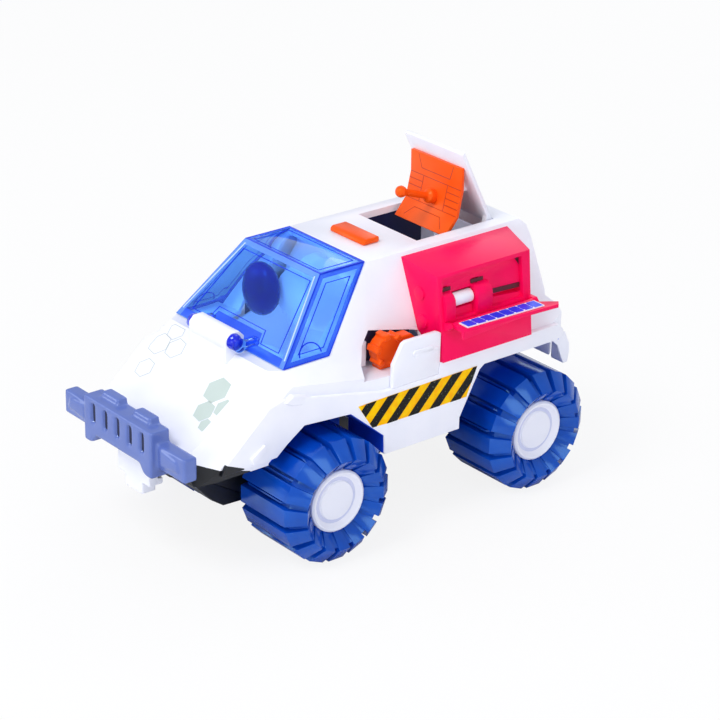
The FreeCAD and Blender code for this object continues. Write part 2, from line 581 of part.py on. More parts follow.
def hatch():
    """Roof hatch with hinge arms and the two ears that carry the dish, turned open."""
    low, top = HATCH_LOW, HATCH_LOW + HATCH_T
    ear_y, ear_z = closed(DISH_Y, DISH_Z)
    lid = box(-HATCH_HALF, HATCH_HALF, HATCH_FRONT, HATCH_BACK, low, top)
    arm_side = [(HATCH_Y - 1, HATCH_Z - 2), (HATCH_Y + 1, HATCH_Z - 2), (HATCH_Y + 2, HATCH_Z - 1), (HATCH_Y + 2, HATCH_Z + 1),
                (HATCH_Y, low), (HATCH_BACK, top), (HATCH_Y - 6, top), (HATCH_Y - 6, low), (HATCH_Y - 2, HATCH_Z - 1)]
    arm = prism_x(arm_side, HATCH_HALF - 3, HATCH_HALF)
    ear = prism_x(ear_profile(ear_y, ear_z, low, 1.7, 3), DISH_EAR_X, DISH_EAR_X + 2)
    for side in SIDES:
        lid = lid.fuse(flip(arm, side)).fuse(flip(ear, side))
    lid = lid.cut(rod_x(1.0 + RUN_FIT, -BAY_HALF - 1, BAY_HALF + 1, HATCH_Y, HATCH_Z))
    lid = lid.cut(rod_x(DISH_PIN + RUN_FIT, -HATCH_HALF, HATCH_HALF, ear_y, ear_z))
    return turned(lid.removeSplitter(), HATCH_Y, HATCH_Z, -HATCH_OPEN)


def dish_plate():
    """Curved plate of the dish: upright above, leaning forwards below."""
    front = [(0.34, 1.0), (0.325, 0.15), (0.52, -0.53), (1.0, -0.942)]
    back = [(1.0 - DISH_T / DISH_LEAN, -1.0), (0.52 - DISH_T / DISH_LEAN, -0.57), (0.325 - DISH_T / DISH_LEAN, 0.135), (0.34 - DISH_T / DISH_LEAN, 1.0)]
    outline = [(DISH_Y - DISH_LEAN * y, DISH_Z + (DISH_UP if z > 0 else DISH_DOWN) * z) for y, z in front + back]
    return prism_x(outline, -DISH_HALF, DISH_HALF)


def dish():
    """Curved orange dish with pivot lugs on its back."""
    shape = dish_plate()
    x0, x1 = DISH_EAR_X - 2.8, DISH_EAR_X - 0.4
    half = [(DISH_T - DISH_LEAN / 3 - 0.9, 1.6), (0.8, 1.6), (1.6, 0.8)]
    lug = prism_x([(DISH_Y + y, DISH_Z + z) for y, z in half + [(y, -z) for y, z in reversed(half)]], x0, x1)
    pin = rod_x(DISH_PIN, x0 + 1, DISH_EAR_X + 1.9, DISH_Y, DISH_Z)
    for side in SIDES:
        shape = shape.fuse(flip(lug, side)).fuse(flip(pin, side))
    return shape.removeSplitter()


def stalk():
    """Feed arm with a round boss on the dish and a ball end."""
    y0, z0 = DISH_Y - DISH_LEAN / 3, DISH_Z - BOOM_DROP
    y1, z1 = y0 - BOOM_REACH, DISH_Z + 1.0
    length = math.hypot(y1 - y0, z1 - z0)
    outline = [(0, 0), (0, BOSS_R), (BOSS_R + 1.6, BOSS_R), (2 * BOSS_R - 0.8, STALK_R), (length - 0.84 * BALL_R, STALK_R),
               (length - 0.52 * BALL_R, 0.84 * BALL_R), (length, BALL_R), (length + 0.52 * BALL_R, 0.84 * BALL_R),
               (length + 0.9 * BALL_R, 0.39 * BALL_R), (length + 0.9 * BALL_R, 0)]
    arm = lathe_x(outline, 0, 0, LUG_COUNT)
    arm.rotate(V(0, 0, 0), V(0, 0, 1), -90)
    arm.rotate(V(0, 0, 0), V(1, 0, 0), -math.degrees(math.atan2(z1 - z0, y0 - y1)))
    arm.translate(V(0, y0, z0))
    return largest(arm.cut(dish_plate()))


# ---- side module ------------------------------------------------------------------
def module_face(z):
    """X of the module's slanting face at a height."""
    return MOD_LOW_X - (MOD_LOW_X - MOD_HIGH_X) * (z - MOD_BOTTOM) / (MOD_HIGH_Z - MOD_BOTTOM)


def face_cut(y0, y1, z0, z1, depth):
    """Cutter into the slanting face, as deep along its whole height."""
    a, b = module_face(z0), module_face(z1)
    return prism_y([(a - depth, z0), (a + 2, z0), (b + 2, z1), (b - depth, z1)], y0, y1)


def arm_profile():
    """Quarter-round (x, z) section of a roller arm, standing on the floor of the recess."""
    low, r = TRAY_Z + 2, ROLL_R + 2.2
    back = module_face(ROLL_Z) - RECESS_DEPTH - 3
    arc = [(ROLL_X + r * math.sin(math.radians(a)), ROLL_Z + r * math.cos(math.radians(a))) for a in (0, 22, 45, 68, 90)]
    return [(back, low), (back, ROLL_Z + r)] + arc + [(ROLL_X + r, low)]


def module():
    """Red housing: recessed face, roller between two quarter-round arms, slots, bosses and hinge lugs for the tray."""
    inner = ROOF_HALF - 1.6
    outline = [(inner, MOD_BOTTOM), (MOD_LOW_X, MOD_BOTTOM), (MOD_HIGH_X, MOD_HIGH_Z), (inner + 2, MOD_IN_Z), (inner, MOD_IN_Z)]
    plan = [(inner, MOD_FRONT - MOD_TAPER), (MOD_LOW_X, MOD_FRONT), (MOD_LOW_X, MOD_REAR - 3), (inner, MOD_REAR + MOD_TAPER + 1)]
    shape = prism_y(outline, MOD_FRONT - 9, MOD_REAR + 9).common(prism_z(plan, MOD_BOTTOM, ROOF_Z)).cut(body_outside())
    y0, y1 = MOD_FRONT + 2.5, MOD_REAR - 7
    shape = shape.cut(face_cut(y0, y1, TRAY_Z + 2, MOD_HIGH_Z - 2, RECESS_DEPTH))
    spans = ((ROLL_Y0 - ROLL_GAP - ARM_W, ROLL_Y0 - ROLL_GAP), (ROLL_Y1 + ROLL_GAP, ROLL_Y1 + ROLL_GAP + ARM_REAR_W))
    top = ROLL_Z + ROLL_R + 2
    for start, end in spans:
        notch = box(ROLL_X - 2, OUTER, start, start + ARM_W - 1, top, top + 2.6)
        shape = shape.fuse(prism_y(arm_profile(), start, end)).cut(notch)
    shape = shape.cut(box(ROLL_X - ROLL_R - 1, OUTER, spans[0][1], spans[1][0], ROLL_Z - ROLL_R - 1, ROLL_Z + ROLL_R + 1))
    slot = [(spans[1][1] + 2, TRAY_Z + 6.7), (y1, TRAY_Z + 6.9), (y1, TRAY_Z + 4.1), (spans[1][1] + 2, TRAY_Z + 5.7)]
    shape = shape.cut(prism_x(slot, ROLL_X - 3, OUTER))
    corner = [(y1, MOD_HIGH_Z - 2), (y1 - 2.4, MOD_HIGH_Z - 3), (y1, MOD_HIGH_Z - 7)]
    shape = shape.cut(prism_x(corner, ROLL_X - 4, OUTER))
    shape = shape.fuse(rod_y(ROLL_PIN, spans[0][1] - 2, spans[1][0] + 2, ROLL_X, ROLL_Z))
    for x, z in ((ROLL_X - 9.4, DECK_Z + 18.7), (ROLL_X - 6.6, DECK_Z + 5.1)):
        shape = shape.fuse(rod_y(3.4, MOD_FRONT - 2.6, MOD_FRONT + 1, x, z))
    for y in (TRAY_Y0 - 3, TRAY_Y1 + 0.5):
        lug = [(module_face(TRAY_Z - 3) - 1, TRAY_Z - 3), (TRAY_X, TRAY_Z - 1.7), (TRAY_X + 1.7, TRAY_Z), (TRAY_X, TRAY_Z + 1.7),
               (module_face(TRAY_Z + 1.7) - 1, TRAY_Z + 1.7)]
        shape = shape.fuse(prism_y(lug, y, y + 2.5))
    return shape.fuse(rod_y(TRAY_PIN, TRAY_Y0 - 3, TRAY_Y1 + 3, TRAY_X, TRAY_Z)).removeSplitter()


def roller():
    """White roller turning on the pin of its well."""
    bore = rod_y(ROLL_PIN + RUN_FIT, ROLL_Y0 - 1, ROLL_Y1 + 1, ROLL_X, ROLL_Z)
    return rod_y(ROLL_R, ROLL_Y0, ROLL_Y1, ROLL_X, ROLL_Z).cut(bore)


def tray():
    """Fold-down tray on the module face, with a lip that thins to its rear tip."""
    out = TRAY_OUT_X
    plan = [(TRAY_X, TRAY_Y0), (out - 3.4, TRAY_Y0), (out, TRAY_Y1 + 6.5), (out - 2.8, TRAY_Y1 + 9), (TRAY_X + 2.6, TRAY_Y1), (TRAY_X, TRAY_Y1)]
    plate = prism_z(plan, TRAY_Z - TRAY_T, TRAY_Z + TRAY_T)
    lip = prism_x([(TRAY_Y0, TRAY_Z), (TRAY_Y0, TRAY_Z - 4.2), (TRAY_Y0 + 23, TRAY_Z - 3), (TRAY_Y1 + 4, TRAY_Z - 1.2), (TRAY_Y1 + 4, TRAY_Z)],
                  out - 5.2, out - 3.6)
    bore = rod_y(TRAY_PIN + RUN_FIT, TRAY_Y0 - 1, TRAY_Y1 + 1, TRAY_X, TRAY_Z)
    return rod_y(1.6, TRAY_Y0, TRAY_Y1, TRAY_X, TRAY_Z).fuse(plate).fuse(lip).cut(bore).removeSplitter()


def solar_strip():
    """Strip of cells on the tray."""
    plan = [(TRAY_X + 2, TRAY_Y0 + 3), (TRAY_X + 6.8, TRAY_Y0 + 3), (TRAY_X + 8.8, TRAY_Y1 - 1), (TRAY_X + 3, TRAY_Y1 - 1)]
    return prism_z(plan, TRAY_Z + TRAY_T, TRAY_Z + TRAY_T + 0.6)


# ---- tool pocket pieces -----------------------------------------------------------
def flap():
    """White upstanding guard beside the tool pocket, on the sill."""
    x0, x1 = BODY_HALF + 0.2, BODY_HALF + SKIRT_T - 0.4
    front, rear, top = SHOULDER_Y + 2.4, FLAP_REAR, SHELF_Z + 16.5
    plate = prism_x([(front, SILL_Z), (front, top - 10.5), (front + 5.6, top - 0.9), (front + 7.6, top), (rear - 2.4, top), (rear, top - 1.1),
                     (rear, SHELF_Z), (rear - 0.9, SILL_Z)], x0, x1)
    return plate.fuse(box(x1, x1 + 0.9, front + 13, rear - 1.9, top - 9.5, top - 7.3)).removeSplitter()


def tool():
    """Orange claw tool standing on the pocket shelf."""
    x0, x1 = TOOL_X0, TOOL_X1
    gear = prism_x([(TOOL_Y + TOOL_R * math.sin(k * math.pi / 8), TOOL_Z + TOOL_R * math.cos(k * math.pi / 8)) for k in range(16)], x0, x1)
    tooth = box(x0 + 0.5, x1 + 1.5, TOOL_Y - 1.6, TOOL_Y + 1.6, TOOL_Z + TOOL_R - 1.5, TOOL_Z + TOOL_R + 1.5)
    for k in range(6):
        gear = gear.fuse(turned(tooth, TOOL_Y, TOOL_Z, 60.0 * k + 15))
    grip = prism_x([(TOOL_Y - 5, SHELF_Z), (TOOL_Y + 17, SHELF_Z), (TOOL_Y + 17, TOOL_Z + 2), (TOOL_Y + 14, TOOL_Z + 5), (TOOL_Y + 9, TOOL_Z + 5),
                    (TOOL_Y - 5, TOOL_Z - 1)], x0, x1)
    below = box(x0 - 5, x1 + 5, TOOL_Y - 20, TOOL_Y + 30, SHELF_Z - 20, SHELF_Z)
    return gear.fuse(grip).cut(below).removeSplitter()


# ---- all nodes --------------------------------------------------------------------
MAKERS = {
    "chassis": chassis, "body_shell": body_shell, "bumper": bumper, "nose_lug": nose_lug, "rear_bumper": rear_bumper, "canopy": canopy,
    "cockpit_tub": cockpit_tub, "seat": seat, "roof_button": roof_button, "roof_hatch": hatch, "dish": dish, "dish_stalk": stalk,
    "module_l": module, "roller_l": roller, "tray_l": tray, "solar_strip_l": solar_strip,
}
for name, make in MAKERS.items():
    save(name, make())
wheel, rim = tyre(AXLES_Y[0]), hub(AXLES_Y[0])
for mark, y in zip(("front", "rear"), AXLES_Y):
    save("axle_" + mark, axle(y))
    back = V(0, y - AXLES_Y[0], 0)
    for side in SIDES:
        save("hub_" + mark + tag(side), flip(rim.translated(back), side))
        save("tyre_" + mark + tag(side), flip(wheel.translated(back), side))
for name, make in (("side_skirt", skirt), ("guard_flap", flap), ("claw_tool", tool)):
    shape = make()
    for side in SIDES:
        save(name + tag(side), flip(shape, side))
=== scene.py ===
import json
import math
import bpy
from mathutils import Matrix, Vector


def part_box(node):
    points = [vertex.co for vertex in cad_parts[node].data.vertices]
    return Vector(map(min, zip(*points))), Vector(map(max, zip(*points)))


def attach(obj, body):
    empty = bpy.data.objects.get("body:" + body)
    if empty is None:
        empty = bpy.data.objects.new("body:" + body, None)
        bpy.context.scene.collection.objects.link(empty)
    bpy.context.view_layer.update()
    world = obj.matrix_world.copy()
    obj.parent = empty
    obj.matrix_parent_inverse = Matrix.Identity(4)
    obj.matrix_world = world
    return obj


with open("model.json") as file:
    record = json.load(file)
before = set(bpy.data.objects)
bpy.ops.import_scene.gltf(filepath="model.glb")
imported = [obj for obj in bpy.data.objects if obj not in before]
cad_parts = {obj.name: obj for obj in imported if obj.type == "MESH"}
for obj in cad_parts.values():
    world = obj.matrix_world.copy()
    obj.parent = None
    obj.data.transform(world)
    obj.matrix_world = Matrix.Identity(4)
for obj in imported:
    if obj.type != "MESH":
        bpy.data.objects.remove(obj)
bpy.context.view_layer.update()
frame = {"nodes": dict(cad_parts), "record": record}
RECORD = frame["record"]
NODES = frame["nodes"]
MM = 0.001
SIDES = (("_l", 1), ("_r", -1))


def corners(node):
    """Lowest and highest corner of a CAD node, in millimetres from the vehicle's mid-plane."""
    lo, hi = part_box(node)
    return [lo[0] / MM - MID, lo[1] / MM, lo[2] / MM], [hi[0] / MM - MID, hi[1] / MM, hi[2] / MM]


MID = sum(c[0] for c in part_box("body_shell")) / 2 / MM
ROOF_Z = corners("body_shell")[1][2]


# ---- materials --------------------------------------------------------------------
FLOW_DETAIL, GRAIN_SCALE, GRAIN_DEPTH = 3.0, 2600.0, 0.0002
CLEAR_ROUGH, CLEAR_BODY, CLEAR_IOR = 0.03, 0.99, 1.4
SHADOW_TINT = 0.25  # power that thins the tint for the lamps' light
SHELL_ROUGH = 0.36
DIP_REACH = 6.0  # how far behind the line's point the black may run


def srgb(r, g, b):
    """Colour from 0-255 display values."""
    def lin(c):
        c = c / 255
        return c / 12.92 if c <= 0.04045 else ((c + 0.055) / 1.055) ** 2.4
    return (lin(r), lin(g), lin(b), 1.0)


def add_node(tree, kind, values=None):
    """New shader node, with the inputs that values names set."""
    node = tree.nodes.new("ShaderNode" + kind)
    for socket, value in (values or {}).items():
        node.inputs[socket].default_value = value
    return node


def math_node(tree, operation, *values):
    """Result of a Math node fed by numbers and by other nodes' outputs."""
    node = add_node(tree, "Math")
    node.operation = operation
    for socket, value in zip(node.inputs, values):
        if isinstance(value, bpy.types.NodeSocket):
            tree.links.new(value, socket)
        else:
            socket.default_value = value
    return node.outputs["Value"]


def ray_mix(tree, ray, usual, special, output, share=None):
    """Give one kind of ray a second shader, or a share of it, and every other ray the usual one."""
    factor = add_node(tree, "LightPath").outputs[ray]
    if share:
        factor = math_node(tree, "MULTIPLY", factor, share)
    mix = add_node(tree, "MixShader")
    for socket, source in zip(mix.inputs, (factor, usual, special)):
        tree.links.new(source, socket)
    tree.links.new(mix.outputs["Shader"], output.inputs["Surface"])


def plastic(name, light, dark, rough=0.32, scale=60.0, bump=0.02, coat=0.0, metal=0.0, band=(0.3, 0.7),
            sheen=(1.0, 1.0, 1.0), alpha=1.0, gloss=0.5):
    """Moulded plastic: a soft two-tone flow and a faint grain."""
    mat = bpy.data.materials.new(name)
    mat.use_nodes = True
    tree = mat.node_tree
    shader = tree.nodes["Principled BSDF"]
    surface = {"Roughness": rough, "Metallic": metal, "Coat Weight": coat, "Specular Tint": sheen + (1.0,),
               "Alpha": alpha, "Specular IOR Level": gloss}
    for socket, value in surface.items():
        shader.inputs[socket].default_value = value
    coords = add_node(tree, "TexCoord")
    flow = add_node(tree, "TexNoise", {"Scale": scale, "Detail": FLOW_DETAIL})
    ramp = add_node(tree, "ValToRGB")
    for stop, place, colour in zip(ramp.color_ramp.elements, band, (dark, light)):
        stop.position = place
        stop.color = colour
    fine = add_node(tree, "TexNoise", {"Scale": GRAIN_SCALE})
    lift = add_node(tree, "Bump", {"Strength": bump, "Distance": GRAIN_DEPTH})
    tree.links.new(coords.outputs["Object"], flow.inputs["Vector"])
    tree.links.new(coords.outputs["Object"], fine.inputs["Vector"])
    tree.links.new(flow.outputs["Fac"], ramp.inputs["Fac"])
    tree.links.new(ramp.outputs["Color"], shader.inputs["Base Color"])
    tree.links.new(fine.outputs["Fac"], lift.inputs["Height"])
    tree.links.new(lift.outputs["Normal"], shader.inputs["Normal"])
    return mat


def clear(name, tint, deep):
    """Tinted clear plastic that lets the lamps through to what is inside."""
    mat = plastic(name, tint, deep, CLEAR_ROUGH, scale=30.0, bump=0.0, sheen=(0.4, 0.65, 1.0))
    tree = mat.node_tree
    shader = tree.nodes["Principled BSDF"]
    shader.inputs["Transmission Weight"].default_value = CLEAR_BODY
    shader.inputs["IOR"].default_value = CLEAR_IOR
    passing = tuple(c ** SHADOW_TINT for c in tint[:3]) + (1.0,)
    lets = add_node(tree, "BsdfTransparent", {"Color": passing})
    ray_mix(tree, "Is Shadow Ray", shader.outputs["BSDF"], lets.outputs["BSDF"],
            tree.nodes["Material Output"])
    return mat


def dipped(name, light, dark, y0, z0, slope):
    """White moulding whose nose is black below a line through (y0, z0) that rises towards the front."""
    mat = plastic(name, light, dark, SHELL_ROUGH)
    tree = mat.node_tree
    ramp = next(n for n in tree.nodes if n.bl_idname == "ShaderNodeValToRGB")
    coords = next(n for n in tree.nodes if n.bl_idname == "ShaderNodeTexCoord")
    split = add_node(tree, "SeparateXYZ")
    tree.links.new(coords.outputs["Object"], split.inputs["Vector"])
    height = math_node(tree, "MULTIPLY_ADD", split.outputs["Y"], slope, split.outputs["Z"])
    below = math_node(tree, "LESS_THAN", height, (z0 + slope * y0) * MM)
    ahead = math_node(tree, "LESS_THAN", split.outputs["Y"], (y0 + DIP_REACH) * MM)
    mix = add_node(tree, "Mix")
    mix.data_type = "RGBA"
    tree.links.new(math_node(tree, "MULTIPLY", below, ahead), mix.inputs["Factor"])
    tree.links.new(ramp.outputs["Color"], mix.inputs["A"])
    mix.inputs["B"].default_value = srgb(10, 13, 20)
    tree.links.new(mix.outputs["Result"], tree.nodes["Principled BSDF"].inputs["Base Color"])
    return mat


SHELL_TONES = srgb(243, 244, 253), srgb(238, 240, 251)
COOL, WARM = (0.3, 0.5, 1.0), (1.0, 0.6, 0.3)

WHITE = plastic("white_plastic", *SHELL_TONES, SHELL_ROUGH)
SHELL = dipped("shell_white", *SHELL_TONES, -85.8, 56.2, 0.30)
SKIRT = dipped("skirt_white", *SHELL_TONES, -90.7, 60.3, 0.42)
# Inner white with a faint glow: painted light that brightens the cockpit's tub, seat and walls and the bay's
# back wall, which lie in shade.
PALE_GLOW = plastic("inner_white_glow", srgb(240, 244, 254), srgb(232, 238, 252), 0.6)
pale_glow_shader = PALE_GLOW.node_tree.nodes["Principled BSDF"]
pale_glow_shader.inputs["Emission Color"].default_value = srgb(214, 224, 255)
pale_glow_shader.inputs["Emission Strength"].default_value = 0.22
BLUE_GREY = plastic("blue_grey_plastic", srgb(98, 118, 186), srgb(88, 108, 178), 0.17,
                    sheen=(0.75, 0.85, 1.0), gloss=0.7)
TYRE = plastic("tyre_blue", srgb(8, 74, 184), srgb(2, 58, 166), 0.17, bump=0.03,
               sheen=(0.4, 0.8, 1.0), gloss=0.9)
RED = plastic("red_plastic", srgb(252, 6, 92), srgb(244, 2, 84), 0.34, sheen=(1.0, 0.3, 0.5), gloss=0.35)
# Dark red: painted shade in the module's slits and gaps.
RED_PAINTED_SHADE = plastic("red_recess_painted_shade", srgb(92, 0, 34), srgb(64, 0, 24), 0.5)
ORANGE = plastic("orange_plastic", srgb(250, 92, 20), srgb(244, 80, 12), 0.3,
                 sheen=WARM, gloss=0.35)
SEAM = plastic("orange_seam", srgb(196, 56, 6), srgb(184, 48, 4), 0.4)
BLACK = plastic("black_plastic", srgb(12, 14, 22), srgb(6, 9, 16), 0.4)
NAVY = plastic("navy_plastic", srgb(24, 26, 140), srgb(16, 18, 122), 0.3)
DEEP = plastic("bay_navy", srgb(10, 14, 84), srgb(4, 6, 58), 0.35)
# Dark violet: painted shade in the closed hollow behind the tool pockets.
SHADE = plastic("pocket_painted_shade", srgb(92, 84, 120), srgb(62, 54, 92), 0.5)
YELLOW = plastic("stripe_yellow", srgb(255, 208, 0), srgb(255, 176, 0), 0.5, scale=300.0,
                 sheen=(1.0, 0.8, 0.1), gloss=0.3)
SPECKLED = plastic("stripe_black", srgb(110, 118, 104), srgb(10, 14, 12), 0.5, scale=1100.0,
                   band=(0.63, 0.72), gloss=0.2)
# Grey-blue: painted shade in the white hubs' grooves.
GROOVE_SHADE = plastic("hub_shade_ring", srgb(208, 212, 238), srgb(200, 205, 234), 0.4)
CELL = plastic("cell_blue", srgb(20, 70, 250), srgb(12, 50, 236), 0.3, scale=220.0, sheen=(0.2, 0.4, 1.0))
GREEN_GREY = plastic("hexagon_grey", srgb(199, 213, 208), srgb(192, 206, 200), 0.5, gloss=0.3)
LINE = plastic("line_grey", srgb(196, 204, 206), srgb(188, 196, 198), 0.5, gloss=0.3)
# Blue on the wheel wells: painted shade with a painted reflection of the blue tyres.
WELL_SHADE = plastic("well_painted_shade", srgb(24, 84, 235), srgb(16, 66, 205), 0.5, sheen=COOL, gloss=0.3)
# Dark navy panels in the bumper's slots: painted shade where the slots are deep.
SLOT_SHADE = plastic("slot_painted_shade", srgb(16, 28, 70), srgb(8, 18, 52), 0.5)
STEEL = plastic("steel_rod", srgb(200, 202, 206), srgb(180, 182, 188), 0.3, metal=1.0)
CLEAR = clear("canopy_blue", srgb(150, 200, 255), srgb(138, 192, 255))
RIM = plastic("canopy_rim", srgb(54, 104, 252), srgb(44, 92, 246), 0.12, alpha=0.72, sheen=(0.6, 0.8, 1.0))
# Light blue band round the windscreen: the canopy's rim, lighter than the side rims by a painted highlight.
FRAME_LIT = plastic("canopy_frame_lit", srgb(116, 166, 254), srgb(104, 156, 252), 0.12, alpha=0.62,
                sheen=(0.7, 0.85, 1.0))
EDGE = plastic("canopy_line", srgb(24, 58, 232), srgb(16, 44, 216), 0.2, sheen=COOL)
# Pale white-blue: a painted highlight along the windscreen's pillars.
PAINTED_GLEAM = plastic("canopy_painted_highlight", srgb(196, 220, 255), srgb(184, 212, 255), 0.2)
BALL = plastic("pivot_blue", srgb(22, 36, 214), srgb(12, 24, 190), 0.06, coat=0.5, sheen=(0.4, 0.6, 1.0))
REST = plastic("rest_blue", srgb(2, 3, 142), srgb(0, 0, 100), 0.08, sheen=(0.3, 0.45, 1.0))

SLOT_MATERIALS = {
    "white_shell": WHITE, "canopy_blue": CLEAR, "grille_blue": BLUE_GREY, "blue_rubber": TYRE,
    "red_plastic": RED, "orange_plastic": ORANGE, "black_plastic": BLACK, "navy_plastic": NAVY,
    "cell_blue": CELL, "steel_rod": STEEL,
}


# ---- finishing the edges ------------------------------------------------------------
WELD_GAP = 1e-6
FLAT_ANGLE = math.radians(0.6)
CREASE_ANGLE = math.radians(35.0)


def paint(obj, mat):
    """Give an object one material."""
    obj.data.materials.clear()
    obj.data.materials.append(mat)


def soften(obj, width, segments=2, joined=True):
    """Round the moulded edges and shade the curves smoothly, flat facets joined first."""
    weld = obj.modifiers.new("weld", "WELD")
    weld.merge_threshold = WELD_GAP
    if joined:
        flat = obj.modifiers.new("flat", "DECIMATE")
        flat.decimate_type = "DISSOLVE"
        flat.angle_limit = FLAT_ANGLE
    bevel = obj.modifiers.new("round", "BEVEL")
    bevel.width = width * MM
    bevel.segments = segments
    bevel.limit_method = "ANGLE"
    bevel.angle_limit = CREASE_ANGLE
    bevel.use_clamp_overlap = True
    obj.data.shade_smooth()
    obj.data.set_sharp_from_angle(angle=CREASE_ANGLE)


def melt(obj, cell, passes):
    """Round every edge of a moulded solid alike: fine even faces, then smoothing."""
    weld = obj.modifiers.new("weld", "WELD")
    weld.merge_threshold = WELD_GAP
    grid = obj.modifiers.new("even", "REMESH")
    grid.mode = "VOXEL"
    grid.voxel_size = cell * MM
    grid.use_smooth_shade = True
    ease = obj.modifiers.new("ease", "SMOOTH")
    ease.factor = 0.5
    ease.iterations = passes


# ---- building blocks ------------------------------------------------------------------
def piece(name, verts, faces, mat, body, width=0.0, slot=None):
    """Mesh piece in millimetres from the mid-plane, riding on a CAD body."""
    mesh = bpy.data.meshes.new(name)
    mesh.from_pydata([(Vector(v) + Vector((MID, 0, 0))) * MM for v in verts], [], faces)
    mesh.validate()
    obj = bpy.data.objects.new(name, mesh)
    bpy.context.scene.collection.objects.link(obj)
    paint(obj, mat)
    if width:
        soften(obj, width)
    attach(obj, body)
    return obj


def slab(points, offset):
    """Flat outline thickened by an offset vector."""
    n = len(points)
    off = Vector(offset)
    verts = [Vector(p) for p in points] + [Vector(p) + off for p in points]
    faces = [tuple(range(n))[::-1], tuple(range(n, 2 * n))]
    faces += [(i, (i + 1) % n, n + (i + 1) % n, n + i) for i in range(n)]
    return verts, faces


def merged(parts):
    """Several (verts, faces) joined."""
    verts, faces = [], []
    for v, f in parts:
        k = len(verts)
        verts += v
        faces += [tuple(i + k for i in face) for face in f]
    return verts, faces


def mirrored(half):
    """Closed outline of (u, v) from its half on the positive side, listed upwards."""
    return half + [(-u, v) for u, v in reversed(half)]


def inset(points, width, normal):
    """Closed outline drawn in by a width, in its own plane."""
    out = []
    n = len(points)
    for i in range(n):
        p = Vector(points[i])
        a = (p - Vector(points[i - 1])).normalized()
        b = (Vector(points[(i + 1) % n]) - p).normalized()
        na, nb = normal.cross(a), normal.cross(b)
        bis = (na + nb).normalized()
        out.append(p + bis * (width / max(0.25, bis.dot(na))))
    return out


def ring(points, width, lift, normal):
    """Flat band inside a closed outline, raised by lift along the normal."""
    outer = [Vector(p) for p in points]
    inner = inset(points, width, normal)
    n = len(outer)
    verts = outer + inner + [p + normal * lift for p in outer] + [p + normal * lift for p in inner]
    faces = []
    for i in range(n):
        j = (i + 1) % n
        faces += [(i, j, n + j, n + i), (2 * n + i, 3 * n + i, 3 * n + j, 2 * n + j),
                  (i, 2 * n + i, 2 * n + j, j), (n + i, n + j, 3 * n + j, 3 * n + i)]
    return verts, faces


def bars(path, width, lift, normal):
    """Thin straight strips along the legs of an open path."""
    parts = []
    for p, q in zip(path, path[1:]):
        a, b = Vector(p), Vector(q)
        side = normal.cross((b - a).normalized()) * (width / 2)
        parts.append(slab([a - side, b - side, b + side, a + side], normal * lift))
    return merged(parts)


def lathe(profile, centre, axis, steps=48):
    """Solid swept about an axis: profile of (distance along it, radius) from pole to pole."""
    axis = Vector(axis).normalized()
    u = axis.orthogonal().normalized()
    w = axis.cross(u)
    c = Vector(centre)
    verts = [c + axis * profile[0][0], c + axis * profile[-1][0]]
    rows = profile[1:-1]
    for t, r in rows:
        for k in range(steps):
            a = 2 * math.pi * k / steps
            verts.append(c + axis * t + (u * math.cos(a) + w * math.sin(a)) * r)
    faces = []
    last = 2 + (len(rows) - 1) * steps
    for k in range(steps):
        j = (k + 1) % steps
        faces += [(0, 2 + j, 2 + k), (1, last + k, last + j)]
        for i in range(len(rows) - 1):
            a = 2 + i * steps
            faces.append((a + k, a + j, a + steps + j, a + steps + k))
    return verts, faces


def ball(centre, r, turns=12):
    """Sphere as a lathe across the vehicle."""
    angles = [math.pi * i / turns for i in range(turns + 1)]
    return lathe([(-r * math.cos(a), r * math.sin(a)) for a in angles], centre, (1, 0, 0), 2 * turns)


def oval(centre, radii, turns=14, spokes=28):
    """Ellipsoid of even rows from its top to its foot."""
    verts = []
    for i in range(turns + 1):
        polar = math.pi * i / turns
        for k in range(spokes):
            a = 2 * math.pi * k / spokes
            unit = (math.sin(polar) * math.cos(a), math.sin(polar) * math.sin(a), math.cos(polar))
            verts.append([c + r * u for c, r, u in zip(centre, radii, unit)])
    faces = []
    for i in range(turns):
        for k in range(spokes):
            a, b = i * spokes + k, i * spokes + (k + 1) % spokes
            faces.append((a, b, b + spokes, a + spokes))
    return verts, faces


def plate(xs, ys, zs):
    """Thin plate between two values along each axis."""
    (x0, x1), (y0, y1), (z0, z1) = xs, ys, zs
    return slab([(x0, y0, z0), (x1, y0, z0), (x1, y1, z0), (x0, y1, z0)], (0, 0, z1 - z0))


def clipped(points, window):
    """Convex outline cut to a convex window, both (u, v) lists running anticlockwise."""
    out = list(points)
    for i in range(len(window)):
        (ax, ay), (bx, by) = window[i], window[(i + 1) % len(window)]
        kept = []
        for j in range(len(out)):
            p, q = out[j], out[(j + 1) % len(out)]
            dp = (bx - ax) * (p[1] - ay) - (by - ay) * (p[0] - ax)
            dq = (bx - ax) * (q[1] - ay) - (by - ay) * (q[0] - ax)
            if dp >= 0:
                kept.append(p)
            if (dp > 0 > dq) or (dp < 0 < dq):
                t = dp / (dp - dq)
                kept.append((p[0] + (q[0] - p[0]) * t, p[1] + (q[1] - p[1]) * t))
        out = kept
    return out


# ---- CAD nodes --------------------------------------------------------------------
slot_of = {s["node"]: s["material_slot"] for s in RECORD["subparts"]}
